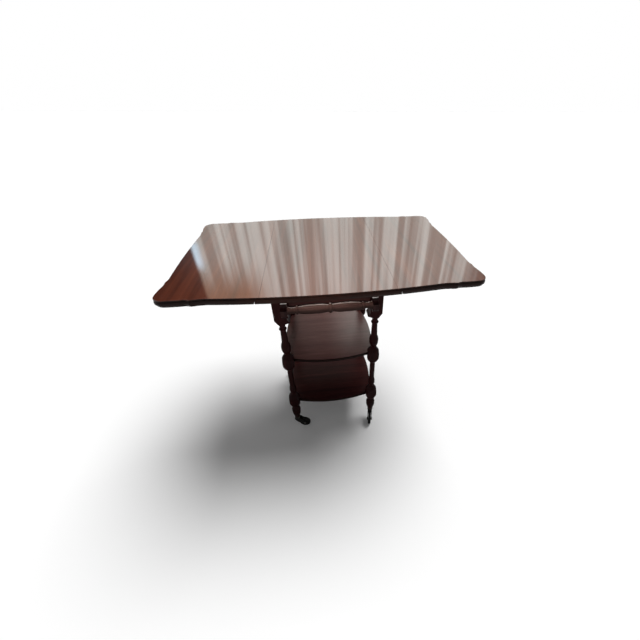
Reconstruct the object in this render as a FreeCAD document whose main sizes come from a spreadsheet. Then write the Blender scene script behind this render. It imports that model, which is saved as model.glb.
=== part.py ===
"""Drop leaf tea trolley: hinged leaves on a turned wooden frame with two shelves and four casters.

Frame: millimetres, +Z up, origin on the floor under the middle of the top.
X runs along the leaves, Y from the handle side (negative) to the back.
"""
import FreeCAD, Part
import math
import os
import re
import Sketcher

Vector = FreeCAD.Vector

# Driving dimensions, one named value each.
SIZES = {
    # Top: height, outline and moulding
    "top_height": 700,
    "board": 19,
    "half_length": 421,
    "half_depth": 288.5,
    "bow_drop": 17.5,
    "corner_length": 75,
    "nib_length": 13,
    "reed_length": 36,
    "reed_rise": 2.5,
    "nib_height": 4,
    "reed_hollow": 1,
    "nib_hollow": 0.6,
    "lobe_round": 0.8,
    "corner_radius": 28,
    "side_corner_length": 74.5,
    "lobe_return": 5,
    "side_nib_length": 19.5,
    "side_nib_out": 1,
    "side_reed_length": 17.5,
    "side_reed_fall": 3.5,
    "side_lobe_round": 1.5,
    "side_nib_hollow": 0.5,
    "side_reed_hollow": 0.6,
    "end_bow": 4,
    "cap_thickness": 3.6,
    "cap_inset": 1,
    "cap_rounding": 1.2,
    "quirk_depth": 3,
    "quirk_width": 1.4,
    "band_height": 11.5,
    # Rule joint and hinges
    "joint_half": 170,
    "joint_fillet": 5,
    "joint_radius": 13,
    "joint_gap": 0.5,
    "cove_relief": 5,
    "relief_out": 2.5,
    "form_margin": 10,
    "hinge_inset": 83.5,
    "hinge_width": 50,
    "hinge_clear": 0.8,
    "knuckle_radius": 3.5,
    "knuckle_width": 16,
    "knuckle_gap": 0.3,
    "hinge_pin_radius": 1.5,
    "hinge_plate": 1.5,
    "sweep_gap": 1.5,
    "sweep_reach": 2,
    "frame_plate_reach": 32,
    "leaf_plate_reach": 52,
    "frame_screw_back": 20,
    "leaf_screw_back": 8,
    "leaf_screw_step": 16,
    "hinge_screw_spread": 15,
    "hinge_screw_radius": 1.6,
    "hinge_screw_head": 3.2,
    "hinge_screw_length": 13,
    # Legs
    "leg_across": 147,
    "leg_deep": 142,
    "head_stock": 38,
    "leg_stock": 38,
    "head_drop": 178.5,
    "head_chamfer": 18.5,
    "head_chamfer_in": 12.5,
    "head_lip": 8,
    "head_lip_height": 30,
    "head_lip_round": 1.5,
    "head_lip_hollow": 2.5,
    "throat_radius": 9,
    "collar_drop": 203,
    "collar_height": 8,
    "collar_radius": 12.5,
    "collar_round": 0.6,
    "shaft_radius": 10.5,
    "vase_share": 0.304,
    "vase_rise_share": 0.284,
    "vase_radius": 15.5,
    "vase_bend": 0.8,
    "vase_fall": 2.4,
    "pinch_radius": 8,
    "block_radius": 24,
    "upper_block_above": 31,
    "upper_block_height": 75,
    "lower_shaft_radius": 9.3,
    "neck_run": 12,
    "neck_bend": 0.4,
    "lower_vase_share": 0.2,
    "lower_vase_rise_share": 0.183,
    "lower_vase_radius": 12,
    "lower_vase_bend": 0.4,
    "lower_vase_fall": 1.8,
    "lower_block_above": 46,
    "lower_block_height": 78,
    "foot_neck_radius": 9,
    "foot_neck_run": 3,
    "foot_neck_bend": 0.2,
    "foot_share": 0.69,
    "foot_radius": 16.5,
    "foot_shoulder": 2.6,
    "foot_taper": 2.2,
    "leg_end": 50,
    "leg_end_radius": 8.8,
    # Aprons, blocks and shelves
    "apron_drop": 128,
    "apron_thickness": 18,
    "front_setback": 20,
    "side_setback": 29,
    "tenon_thickness": 8,
    "tenon_length": 18,
    "tenon_spacing": 1,
    "tenon_shoulder": 30,
    "tenon_haunch": 6,
    "block_side": 34,
    "block_height": 40,
    "fixing_screw_radius": 2.2,
    "fixing_screw_head": 4.5,
    "fixing_screw_head_height": 3,
    "fixing_screw_bite": 12,
    "upper_shelf_top": 360,
    "lower_shelf_top": 150,
    "shelf_thickness": 12,
    "shelf_housing": 4,
    "shelf_front_bow": 19,
    "shelf_side_bow": 16,
    "shelf_corner": 10,
    "shelf_edge_bevel": 2.5,
    # Handle
    "rail_drop": 115,
    "rail_out": 14,
    "rail_bead_radius": 15,
    "rail_bead_half": 6,
    "rail_quirk_radius": 11.5,
    "rail_quirk_width": 3,
    "rail_swell_radius": 14,
    "rail_swell_bend": 1.2,
    "rail_fall_bend": 1.6,
    "rail_neck_radius": 10.5,
    "rail_end_bead_radius": 13,
    "rail_end_bead_width": 8,
    "rail_end_neck": 24,
    "rail_end_radius": 12.5,
    "rail_end_hollow": 2,
    "rail_tenon_radius": 7,
    "rail_tenon_length": 10,
    "handle_shift": 4,
    "handle_block_inset": 6.5,
    "handle_block_width": 19,
    "handle_block_cap": 10,
    "handle_block_depth": 28,
    "handle_block_above": 21,
    "handle_block_below": 22,
    "handle_block_toe": 7,
    "handle_block_brow": 5,
    "handle_block_chin": 2,
    "dowel_radius": 3,
    "dowel_rise": 15,
    "dowel_leg_bite": 15,
    "dowel_block_bite": 9,
    # Leaf supports
    "support_place": 55,
    "support_thickness": 18,
    "support_height": 70,
    "support_off": 3.5,
    "support_lug": 15,
    "support_gap": 0.5,
    "support_end_gap": 1.5,
    "support_toe": 34,
    "support_hollow": 6,
    "support_block": 50,
    "support_screw_along": 15,
    "support_pin_radius": 3,
    "running_gap": 0.08,
    # Casters
    "wheel_radius": 22,
    "wheel_width": 11,
    "wheel_rim": 4,
    "wheel_hub_radius": 9,
    "wheel_hub_step": 1.5,
    "wheel_edge": 3,
    "wheel_round": 1,
    "wheel_dish": 1.5,
    "trail": 28,
    "axle_radius": 3,
    "axle_head_radius": 5,
    "axle_head_height": 2,
    "cheek": 2,
    "cheek_swell": 3,
    "horn_belly": 6,
    "wheel_side_gap": 1,
    "wheel_clear": 2,
    "crown": 3,
    "crown_lip": 2,
    "crown_half": 10,
    "fork_boss_radius": 7,
    "swivel_gap": 0.5,
    "socket_flange": 2,
    "socket_wall": 1.5,
    "socket_cup_height": 9,
    "sleeve_height": 34,
    "stem_radius": 4,
    "stem_end_gap": 1,
    "front_left_swivel": 350,
    "front_right_swivel": 258,
    "back_left_swivel": 180,
    "back_right_swivel": 90,
}

# Levels at which the half-round band of the top's edge is drawn.
BAND_STEPS = 6

# Heights of a support block's two screws, as shares of the block's height.
SCREW_SHARES = (0.25, 0.75)

DOCUMENT = FreeCAD.newDocument("DropLeafTeaTrolley")
SHEET = DOCUMENT.addObject("Spreadsheet::Sheet", "Size")
for row, (alias, number) in enumerate(SIZES.items(), start=1):
    SHEET.set(f"A{row}", alias)
    SHEET.set(f"B{row}", str(number))
    SHEET.setAlias(f"B{row}", alias)
DOCUMENT.recompute()

NODES = {}

# Places worked out from the driving dimensions, as expressions of the sheet.
UNDERSIDE = "(top_height - board)"
PIVOT_Z = "(top_height - joint_fillet - joint_radius)"
HEAD_BOTTOM = "(top_height - head_drop)"
COLLAR_MIDDLE = "(top_height - collar_drop)"
APRON_BOTTOM = "(top_height - apron_drop)"
RAIL_Z = "(top_height - rail_drop)"
UPPER_BLOCK_TOP = "(upper_shelf_top + upper_block_above)"
LOWER_BLOCK_TOP = "(lower_shelf_top + lower_block_above)"
HEAD_FRONT = "(leg_deep + head_stock / 2)"
HEAD_INNER_X = "(leg_across - head_stock / 2)"
HEAD_INNER_Y = "(leg_deep - head_stock / 2)"
APRON_FACE_Y = f"({HEAD_FRONT} - front_setback)"
APRON_FACE_X = "(leg_across + head_stock / 2 - side_setback)"
APRON_HEIGHT = f"({UNDERSIDE} - {APRON_BOTTOM})"
HANDLE_BLOCK_X = f"({HEAD_INNER_X} + handle_block_inset)"
QUARTER_SAG = 1 - 1 / math.sqrt(2)


# ---------------------------------------------------------------- helpers

def tied(text):
    """Expression text with each alias written as a reference to the sheet."""
    return re.sub(r"[a-z_]+", lambda word: f"Size.{word[0]}" if word[0] in SIZES else word[0], str(text))


def value(text):
    """Number that an expression of the sheet gives now."""
    return float(SHEET.evalExpression(tied(f"0 + {text}")))


def bind(item, **links):
    """Bind properties of an object to expressions; a double underscore stands for a dot."""
    for name, text in links.items():
        item.setExpression(name.replace("__", "."), tied(text))
    return item


def place(item, x, y, z):
    """Bind the position of an object."""
    return bind(item, Placement__Base__x=x, Placement__Base__y=y, Placement__Base__z=z)


def node(name, item):
    """Give a finished sub-part its label and list it for export."""
    item.Label = name
    NODES[name] = item
    return item


def box(x, y, z, length, width, height):
    """Box from its lowest corner and its three sizes."""
    item = DOCUMENT.addObject("Part::Box", "Box")
    bind(item, Length=length, Width=width, Height=height)
    return place(item, x, y, z)


def centred_box(x, y, z, length, width, height):
    """Box whose middle in plan is at x and y, standing on z."""
    return box(f"{x} - ({length}) / 2", f"{y} - ({width}) / 2", z, length, width, height)


def rod(kind, x, y, z, axis, **sizes):
    """Cylinder or cone from the middle of its first end, along an axis given as a vector."""
    item = DOCUMENT.addObject(f"Part::{kind}", kind)
    bind(item, **sizes)
    item.Placement = FreeCAD.Placement(Vector(), FreeCAD.Rotation(Vector(0, 0, 1), Vector(*axis)))
    return place(item, x, y, z)


def cylinder(x, y, z, axis, radius, height):
    """Cylinder along an axis."""
    return rod("Cylinder", x, y, z, axis, Radius=radius, Height=height)


def fuse(*items):
    """Union of two or more objects."""
    item = DOCUMENT.addObject("Part::MultiFuse", "Fuse")
    item.Shapes = list(items)
    item.Refine = True
    return item


def group(*items):
    """Separate solids kept together in one node."""
    item = DOCUMENT.addObject("Part::Compound", "Group")
    item.Links = list(items)
    return item


def cut(base, *tools):
    """Base with the tools taken out of it."""
    item = DOCUMENT.addObject("Part::Cut", "Cut")
    item.Base = base
    item.Tool = tools[0] if len(tools) == 1 else fuse(*tools)
    return item


def common(first, second):
    """What two objects share."""
    item = DOCUMENT.addObject("Part::Common", "Common")
    item.Base = first
    item.Tool = second
    return item


def new_body(name, x="0", y="0", z="0"):
    """Body at a bound position."""
    return place(DOCUMENT.addObject("PartDesign::Body", name), x, y, z)


def bend_middle(start, end, bulge):
    """Middle point of an arc from its chord and its rise to the left of travel."""
    (ax, ay), (bx, by) = start, end
    span = f"sqrt((({bx}) - ({ax}))^2 + (({by}) - ({ay}))^2)"
    return (f"(({ax}) + ({bx})) / 2 - ({bulge}) * (({by}) - ({ay})) / {span}",
            f"(({ay}) + ({by})) / 2 + ({bulge}) * (({bx}) - ({ax})) / {span}")


def pin_point(sketch, shape_index, point_index, x, y):
    """Bind one point of a sketch to its two distances from the origin."""
    for kind, text in (("DistanceX", x), ("DistanceY", y)):
        rule = Sketcher.Constraint(kind, -1, 1, shape_index, point_index, value(text))
        index = sketch.addConstraint(rule)
        sketch.setExpression(f"Constraints[{index}]", tied(text))


def outline(body, plane, corners):
    """Closed sketch outline on an origin plane of its body.

    Each corner is (x, y) for a straight run that ends there, or (x, y, bulge)
    for an arc that ends there and rises by bulge to the left of travel.
    """
    sketch = body.newObject("Sketcher::SketchObject", "Outline")
    support = [item for item in body.Origin.OriginFeatures if item.Role == plane][0]
    sketch.AttachmentSupport = [(support, "")]
    sketch.MapMode = "FlatFace"
    ends = []
    for index, corner in enumerate(corners):
        start, end = corners[index - 1][:2], corner[:2]
        first = Vector(value(start[0]), value(start[1]), 0)
        last = Vector(value(end[0]), value(end[1]), 0)
        if len(corner) == 2:
            edge = sketch.addGeometry(Part.LineSegment(first, last), False)
            ends.append(((edge, 1), (edge, 2)))
            continue
        middle = bend_middle(start, end, corner[2])
        through = Vector(value(middle[0]), value(middle[1]), 0)
        turns_left = (through - first).cross(last - through).z > 0
        arc = Part.Arc(first, through, last) if turns_left else Part.Arc(last, through, first)
        edge = sketch.addGeometry(arc, False)
        ends.append(((edge, 1), (edge, 2)) if turns_left else ((edge, 2), (edge, 1)))
        spot = sketch.addGeometry(Part.Point(through), True)
        pin_point(sketch, spot, 1, *middle)
        sketch.addConstraint(Sketcher.Constraint("PointOnObject", spot, 1, edge))
    for index, corner in enumerate(corners):
        arriving, leaving = ends[index][1], ends[(index + 1) % len(corners)][0]
        sketch.addConstraint(Sketcher.Constraint("Coincident", *arriving, *leaving))
        pin_point(sketch, *arriving, *corner[:2])
    return sketch


def pad(body, sketch, length, both_ways=True):
    """Pad a sketch, to both sides of its plane unless told otherwise."""
    feature = body.newObject("PartDesign::Pad", "Pad")
    feature.Profile = sketch
    feature.SideType = "Symmetric" if both_ways else "One side"
    bind(feature, Length=length)
    return feature


def revolve(body, sketch, axis="V_Axis"):
    """Turn a sketch fully round one of its own axes."""
    feature = body.newObject("PartDesign::Revolution", "Turning")
    feature.Profile = sketch
    feature.ReferenceAxis = (sketch, [axis])
    feature.Angle = 360
    return feature


def bevel_rims(body, base, size):
    """Chamfer every edge of a pad that lies level, so its top and bottom rims."""
    DOCUMENT.recompute()
    names = [f"Edge{index}" for index, edge in enumerate(base.Shape.Edges, start=1)
             if edge.BoundBox.ZLength < 1e-6]
    feature = body.newObject("PartDesign::Chamfer", "Bevel")
    feature.Base = (base, names)
    bind(feature, Size=size)
    return feature


def round_screw(x, y, z, axis, radius, head_radius, head_height, length):
    """Round-headed screw: x, y, z is where the shank leaves the head, axis points along the shank."""
    back = [f"{spot} - ({step}) * ({head_height})" for spot, step in zip((x, y, z), axis)]
    head = cylinder(*back, axis, head_radius, head_height)
    return fuse(head, cylinder(x, y, z, axis, radius, length))


# ---------------------------------------------------------------- top

def top_corner():
    """Corner of the top's outline from the front bow to the side bow, as points and arc rises."""
    bow_y = "half_depth - bow_drop"
    lobe_y = f"{bow_y} + reed_rise - nib_height"
    corner = [("half_length - corner_length - nib_length - reed_length", bow_y, None),
              ("half_length - corner_length - nib_length", f"{bow_y} + reed_rise", "-reed_hollow"),
              ("half_length - corner_length", lobe_y, "-nib_hollow")]
    side_y = f"{lobe_y} - side_corner_length"
    side_nib_y = f"{side_y} - side_nib_length"
    side_nib_x = "half_length - lobe_return + side_nib_out"
    corner += [("half_length - corner_radius", lobe_y, "lobe_round"),
               ("half_length", f"{lobe_y} - corner_radius", f"corner_radius * {QUARTER_SAG}"),
               ("half_length - lobe_return", side_y, "side_lobe_round"),
               (side_nib_x, side_nib_y, "-side_nib_hollow"),
               (f"{side_nib_x} - side_reed_fall", f"{side_nib_y} - side_reed_length", "-side_reed_hollow")]
    points = [(value(x), value(y)) for x, y, _ in corner]
    return points, [value(rise) for _, _, rise in corner[1:]]


def top_wire(inset, drop):
    """Outline of the top, drawn in by inset on all sides, at a depth below its surface."""
    points, rises = top_corner()
    middles = []
    for (ax, ay), (bx, by), rise in zip(points, points[1:], rises):
        span = math.hypot(bx - ax, by - ay)
        middles.append(((ax + bx) / 2 - rise * (by - ay) / span, (ay + by) / 2 + rise * (bx - ax) / span))
    end_x = points[-1][0] + value("end_bow")
    front_y = value("half_depth")
    shrink_x = 1 - inset / value("half_length")
    shrink_y = 1 - inset / value("half_depth")
    level = value("top_height") - drop

    def spot(sign_x, sign_y, point):
        return Vector(sign_x * point[0] * shrink_x, sign_y * point[1] * shrink_y, level)

    edges = []
    last = spot(-1, -1, points[0])
    bows = ((0, -front_y), (end_x, 0), (0, front_y), (-end_x, 0))
    for (sign_x, sign_y), bow in zip(((1, -1), (1, 1), (-1, 1), (-1, -1)), bows):
        order = 1 if sign_x * sign_y < 0 else -1
        ends, bends = points[::order], middles[::order]
        arrive = spot(sign_x, sign_y, ends[0])
        edges.append(Part.Arc(last, spot(1, 1, bow), arrive).toShape())
        for index, bend in enumerate(bends):
            first = spot(sign_x, sign_y, ends[index])
            last = spot(sign_x, sign_y, ends[index + 1])
            edges.append(Part.Arc(first, spot(sign_x, sign_y, bend), last).toShape())
    return Part.Wire(edges)


def top_blank():
    """Whole top before it is cut into panel and leaves: cap, quirk, half-round band and foot.

    The lobed outline repeats at every level, so the moulding is a stack of lofts.
    """
    cap, quirk = value("cap_thickness"), value("quirk_width")
    band, board = value("band_height"), value("board")
    cap_inset, quirk_depth = value("cap_inset"), value("quirk_depth")
    rounding = value("cap_rounding")
    cap_levels = [(cap_inset + rounding * (1 - math.sin(turn)), rounding * (1 - math.cos(turn)))
                  for turn in (0, math.pi / 6, math.pi / 3, math.pi / 2)]
    cap_levels.append((cap_inset, cap))
    band_levels = []
    for step in range(BAND_STEPS + 1):
        turn = math.pi * step / BAND_STEPS
        drop = cap + quirk + band * (1 - math.cos(turn)) / 2
        band_levels.append((quirk_depth * (1 - math.sin(turn)), drop))
    layers = [cap_levels,
              [(quirk_depth, cap), (quirk_depth, cap + quirk)],
              band_levels,
              [(quirk_depth, cap + quirk + band), (quirk_depth, board)]]
    solids = [Part.makeLoft([top_wire(*level) for level in levels], True, True) for levels in layers]
    blank = DOCUMENT.addObject("Part::Feature", "TopBlank")
    blank.Shape = solids[0].fuse(solids[1:]).removeSplitter()
    return blank


def panel_form():
    """Prism of the centre panel's section, with a fillet and a quarter round along each joint."""
    body = new_body("PanelForm")
    rim, floor = "top_height + 1", f"{UNDERSIDE} - 1"
    round_x = "joint_half + joint_radius"
    sag = f"joint_radius * {QUARTER_SAG}"
    corners = [(f"-({round_x})", floor), (round_x, floor), (round_x, PIVOT_Z),
               ("joint_half", "top_height - joint_fillet", f"-({sag})"), ("joint_half", rim),
               ("-joint_half", rim), ("-joint_half", "top_height - joint_fillet"),
               (f"-({round_x})", PIVOT_Z, f"-({sag})")]
    pad(body, outline(body, "XZ_Plane", corners), "2 * (half_depth + form_margin)")
    return body


def leaf_form(side):
    """Prism of a leaf's section, with the cove that rides over the quarter round and its eased corner."""
    body = new_body("LeafForm")
    rim, floor = "top_height + 1", f"{UNDERSIDE} - 1"
    reach = "(joint_radius + joint_gap)"
    top_rise = f"sqrt({reach}^2 - joint_gap^2)"
    foot_run = f"sqrt({reach}^2 - cove_relief^2)"
    inner = f"{side} * (joint_half + joint_gap)"
    end = f"{side} * (half_length + form_margin)"
    half_chord = f"sqrt(({foot_run} - joint_gap)^2 + ({top_rise} - cove_relief)^2) / 2"
    sag = f"{side} * ({reach} - sqrt({reach}^2 - ({half_chord})^2))"
    corners = [(end, floor), (end, rim), (inner, rim), (inner, f"{PIVOT_Z} + {top_rise}"),
               (f"{side} * (joint_half + {foot_run})", f"{PIVOT_Z} + cove_relief", sag),
               (f"{side} * (joint_half + {reach} + relief_out)", floor)]
    pad(body, outline(body, "XZ_Plane", corners), "2 * (half_depth + form_margin)")
    return body


def hinge_screw(x, y):
    """Countersunk screw driven up through a plate from below."""
    head = rod("Cone", x, y, UNDERSIDE, (0, 0, 1), Radius1="hinge_screw_head",
               Radius2="hinge_screw_radius", Height="hinge_plate")
    shank = cylinder(x, y, f"{UNDERSIDE} + hinge_plate / 2", (0, 0, 1), "hinge_screw_radius",
                     "hinge_screw_length")
    return fuse(head, shank)


def hinge(side, end):
    """One table hinge: returns its pieces and the recesses that it needs, all at rest."""
    pivot, middle = f"{side} * joint_half", f"{end} * (half_depth - hinge_inset)"
    clear = "(knuckle_radius + hinge_clear)"
    centre_gap = "(knuckle_width + 2 * knuckle_gap)"

    def strip(near, far, z, width, height, y=middle):
        """Box between two distances from the pivot, outwards positive."""
        low, reach = near if side > 0 else f"-({far})", f"(({far}) - ({near}))"
        return centred_box(f"{pivot} + {low} + {reach} / 2", y, z, reach, width, height)

    outer = "joint_half + leaf_plate_reach - leaf_screw_back"
    frame_screws = [hinge_screw(f"{side} * (joint_half - frame_screw_back)",
                                f"{middle} + {step} * hinge_screw_spread") for step in (-1, 1)]
    leaf_screws = [hinge_screw(f"{side} * ({outer})", f"{middle} + {step} * hinge_screw_spread")
                   for step in (-1, 1)]
    leaf_screws.append(hinge_screw(f"{side} * ({outer} - leaf_screw_step)", middle))
    frame_flat = strip("-frame_plate_reach", "0", UNDERSIDE, "hinge_width", "hinge_plate")
    leaf_flat = strip("0", "leaf_plate_reach", UNDERSIDE, "hinge_width", "hinge_plate")

    def round_bar(radius, width):
        """Cylinder along the hinge's axis."""
        return cylinder(pivot, f"{middle} - {width} / 2", PIVOT_Z, (0, 1, 0), radius, width)

    barrel = round_bar("knuckle_radius", "hinge_width")
    knuckle = round_bar("knuckle_radius", "knuckle_width")
    pin = round_bar("hinge_pin_radius", "hinge_width")
    bore = round_bar("hinge_pin_radius + running_gap", "hinge_width")
    low = f"{PIVOT_Z} - {clear}"
    centre_slot = strip(f"-{clear}", clear, low, centre_gap, f"2 * {clear}")
    side_width = "((hinge_width - knuckle_width) / 2 + hinge_clear)"
    side_slots = [strip(f"-{clear}", clear, low, side_width, f"2 * {clear}",
                        f"{middle} + {step} * (knuckle_width + {side_width}) / 2") for step in (-1, 1)]
    leaf_knuckle_plate = fuse(cut(leaf_flat, *side_slots), knuckle)
    pieces = {
        "frame_plate": cut(fuse(frame_flat, barrel), centre_slot, pin, *frame_screws),
        "leaf_plate": cut(leaf_knuckle_plate, bore, *leaf_screws),
        "pin": pin,
    }
    wide, below = "hinge_width + 2 * hinge_clear", f"({UNDERSIDE} - 1)"
    barrel_well = strip(f"-{clear}", clear, below, wide, f"{PIVOT_Z} + {clear} - {below}")
    plate_well = strip("0", "joint_radius + sweep_reach", below, wide, "hinge_plate + sweep_gap")
    panel_cuts = [frame_flat, barrel_well, plate_well, *frame_screws]
    return pieces, frame_screws, leaf_screws, panel_cuts, [leaf_flat, *leaf_screws]


def build_top():
    """Centre panel, two leaves, four hinges and their screws."""
    blank = top_blank()
    panel_cuts = []
    for side_name, side in (("left", -1), ("right", 1)):
        frame_screws, leaf_screws, leaf_cuts = [], [], []
        for end_name, end in (("front", -1), ("back", 1)):
            pieces, for_frame, for_leaf, from_panel, from_leaf = hinge(side, end)
            for piece_name, piece in pieces.items():
                node(f"{side_name}_{end_name}_hinge_{piece_name}", piece)
            frame_screws += for_frame
            leaf_screws += for_leaf
            panel_cuts += from_panel
            leaf_cuts += from_leaf
        node(f"{side_name}_hinge_frame_screws", group(*frame_screws))
        node(f"{side_name}_hinge_leaf_screws", group(*leaf_screws))
        node(f"{side_name}_leaf", cut(common(blank, leaf_form(side)), *leaf_cuts))
    return common(blank, panel_form()), panel_cuts


# ---------------------------------------------------------------- base

def swell(start_radius, start_z, end_radius, end_z, bend):
    """Two arcs that lead in a slight S from one radius of a turning out to a larger one."""
    return [(f"({start_radius} + {end_radius}) / 2", f"({start_z} + {end_z}) / 2", f"-{bend}"),
            (end_radius, end_z, bend)]


def turned_corners():
    """Half section of a leg's turning, from the top of its throat down to its end."""
    throat_top = f"{HEAD_BOTTOM} + head_chamfer"
    collar_top, collar_foot = f"{COLLAR_MIDDLE} + collar_height / 2", f"({COLLAR_MIDDLE} - collar_height / 2)"
    upper_bottom = f"({UPPER_BLOCK_TOP} - upper_block_height)"
    lower_bottom = f"({LOWER_BLOCK_TOP} - lower_block_height)"
    upper_run, lower_run = f"({collar_foot} - {UPPER_BLOCK_TOP})", f"({upper_bottom} - {LOWER_BLOCK_TOP})"
    vase = f"({UPPER_BLOCK_TOP} + vase_share * {upper_run})"
    vase_top = f"({vase} + vase_rise_share * {upper_run})"
    lower_vase = f"({LOWER_BLOCK_TOP} + lower_vase_share * {lower_run})"
    lower_vase_top = f"({lower_vase} + lower_vase_rise_share * {lower_run})"
    barrel = "block_radius - pinch_radius"
    return [("0", throat_top), ("throat_radius", throat_top),
            ("throat_radius", collar_top),
            ("collar_radius", COLLAR_MIDDLE, "collar_round"),
            ("throat_radius", collar_foot, "collar_round"),
            ("shaft_radius", vase_top),
            *swell("shaft_radius", vase_top, "vase_radius", vase, "vase_bend"),
            ("pinch_radius", UPPER_BLOCK_TOP, "vase_fall"),
            ("pinch_radius", upper_bottom, barrel),
            ("lower_shaft_radius", f"{upper_bottom} - neck_run", "neck_bend"),
            ("lower_shaft_radius", lower_vase_top),
            *swell("lower_shaft_radius", lower_vase_top, "lower_vase_radius", lower_vase, "lower_vase_bend"),
            ("pinch_radius", LOWER_BLOCK_TOP, "lower_vase_fall"),
            ("pinch_radius", lower_bottom, barrel),
            ("foot_neck_radius", f"{lower_bottom} - foot_neck_run", "foot_neck_bend"),
            ("foot_radius", f"leg_end + foot_share * ({lower_bottom} - leg_end)", "foot_shoulder"),
            ("leg_end_radius", "leg_end + socket_cup_height", "foot_taper"),
            ("leg_end_radius", "leg_end"), ("0", "leg_end")]


def leg(side, end, tools):
    """Turned and squared leg with its shaped head, cut for what is let into it."""
    x, y = f"{side} * leg_across", f"{end} * leg_deep"
    turning = new_body("LegTurning", x, y)
    revolve(turning, outline(turning, "XZ_Plane", turned_corners()))
    stock = centred_box(x, y, "leg_end", "leg_stock", "leg_stock", f"{UNDERSIDE} - leg_end")
    head = new_body("LegHead", x, y)
    half = "head_stock / 2"

    def across(distance):
        return f"{side} * ({distance})"

    corners = [(across(half), UNDERSIDE), (across(half), f"{HEAD_BOTTOM} + head_chamfer"),
               (across(f"{half} - head_chamfer_in"), HEAD_BOTTOM),
               (across(f"-({half} + head_lip)"), f"{HEAD_BOTTOM} + head_lip_height / 3",
               f"{side} * head_lip_round"),
               (across(f"-{half}"), f"{HEAD_BOTTOM} + head_lip_height", f"{-side} * head_lip_hollow"),
               (across(f"-{half}"), UNDERSIDE)]
    pad(head, outline(head, "XZ_Plane", corners), "head_stock")
    return cut(fuse(common(turning, stock), head), *tools)


def apron(side, along_x):
    """Apron between two leg heads with a tenon at each end, and the tenons alone as a cutting tool."""
    z, tenon_z = APRON_BOTTOM, f"{APRON_BOTTOM} + tenon_shoulder"
    tenon_height = f"{APRON_HEIGHT} - tenon_shoulder - tenon_haunch"
    if along_x:
        y, length = f"{side} * ({APRON_FACE_Y} - apron_thickness / 2)", f"2 * {HEAD_INNER_X}"
        board = centred_box("0", y, z, length, "apron_thickness", APRON_HEIGHT)
        tenon = centred_box("0", y, tenon_z, f"{length} + 2 * tenon_length", "tenon_thickness", tenon_height)
    else:
        x, length = f"{side} * ({APRON_FACE_X} - apron_thickness / 2)", f"2 * {HEAD_INNER_Y}"
        tenon_x = f"{side} * ({APRON_FACE_X} - tenon_thickness / 2)"
        front_tenon_back = f"({APRON_FACE_Y} - (apron_thickness + tenon_thickness) / 2)"
        board = centred_box(x, "0", z, "apron_thickness", length, APRON_HEIGHT)
        tenon = centred_box(tenon_x, "0", tenon_z, "tenon_thickness",
                            f"2 * ({front_tenon_back} - tenon_spacing)", tenon_height)
    return fuse(board, tenon), tenon


def shelf(name, top):
    """Shelf with four bowed sides, its corners let into the legs."""
    body = new_body(name, "0", "0", f"{top} - shelf_thickness")
    x, y = "(leg_across - shelf_housing)", "(leg_deep - shelf_housing)"
    inner_x, inner_y = f"({x} - shelf_corner)", f"({y} - shelf_corner)"
    front, aside = "-shelf_front_bow", "-shelf_side_bow"
    corners = [(inner_x, f"-{y}", front), (x, f"-{inner_y}"), (x, inner_y, aside), (inner_x, y),
               (f"-{inner_x}", y, front), (f"-{x}", inner_y), (f"-{x}", f"-{inner_y}", aside),
               (f"-{inner_x}", f"-{y}")]
    board = pad(body, outline(body, "XY_Plane", corners), "shelf_thickness", both_ways=False)
    bevel_rims(body, board, "shelf_edge_bevel")
    return node(name, body)


def corner_block(side, end):
    """Block in the angle of two aprons, its screw up into the panel, and that screw's place."""
    x = f"{side} * ({APRON_FACE_X} - apron_thickness - block_side / 2)"
    y = f"{end} * ({APRON_FACE_Y} - apron_thickness - block_side / 2)"
    block = centred_box(x, y, f"{UNDERSIDE} - block_height", "block_side", "block_side", "block_height")
    screw = round_screw(x, y, f"{UNDERSIDE} - block_height", (0, 0, 1), "fixing_screw_radius",
                        "fixing_screw_head", "fixing_screw_head_height", "block_height + fixing_screw_bite")
    return cut(block, screw), screw


def rail_corners():
    """Half section of the handle rail about its own axis, left end to right end."""
    end = f"({HANDLE_BLOCK_X} - handle_block_width / 2)"
    bead_out = f"({end} - rail_end_neck)"
    bead_in = f"({bead_out} - rail_end_bead_width)"
    tenon_end = f"({end} + rail_tenon_length)"
    half = [("rail_bead_half", "rail_quirk_radius", "rail_bead_radius - rail_quirk_radius"),
            ("rail_bead_half + rail_quirk_width", "rail_quirk_radius", None),
            (f"{bead_in} / 2", "rail_swell_radius", "rail_swell_bend"),
            (bead_in, "rail_neck_radius", "rail_fall_bend"),
            (bead_out, "rail_neck_radius", "rail_end_bead_radius - rail_neck_radius"),
            (end, "rail_end_radius", "-rail_end_hollow"),
            (end, "rail_tenon_radius", None),
            (tenon_end, "rail_tenon_radius", None),
            (tenon_end, "0", None)]
    corners = [(f"-{tenon_end}", "0", None)]
    for (x, radius, _), (_, _, bulge) in zip(half[-2::-1], half[:0:-1]):
        corners.append((f"-({x})", radius, bulge))
    return [corner[:2] if corner[2] is None else corner for corner in corners + half]


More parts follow.
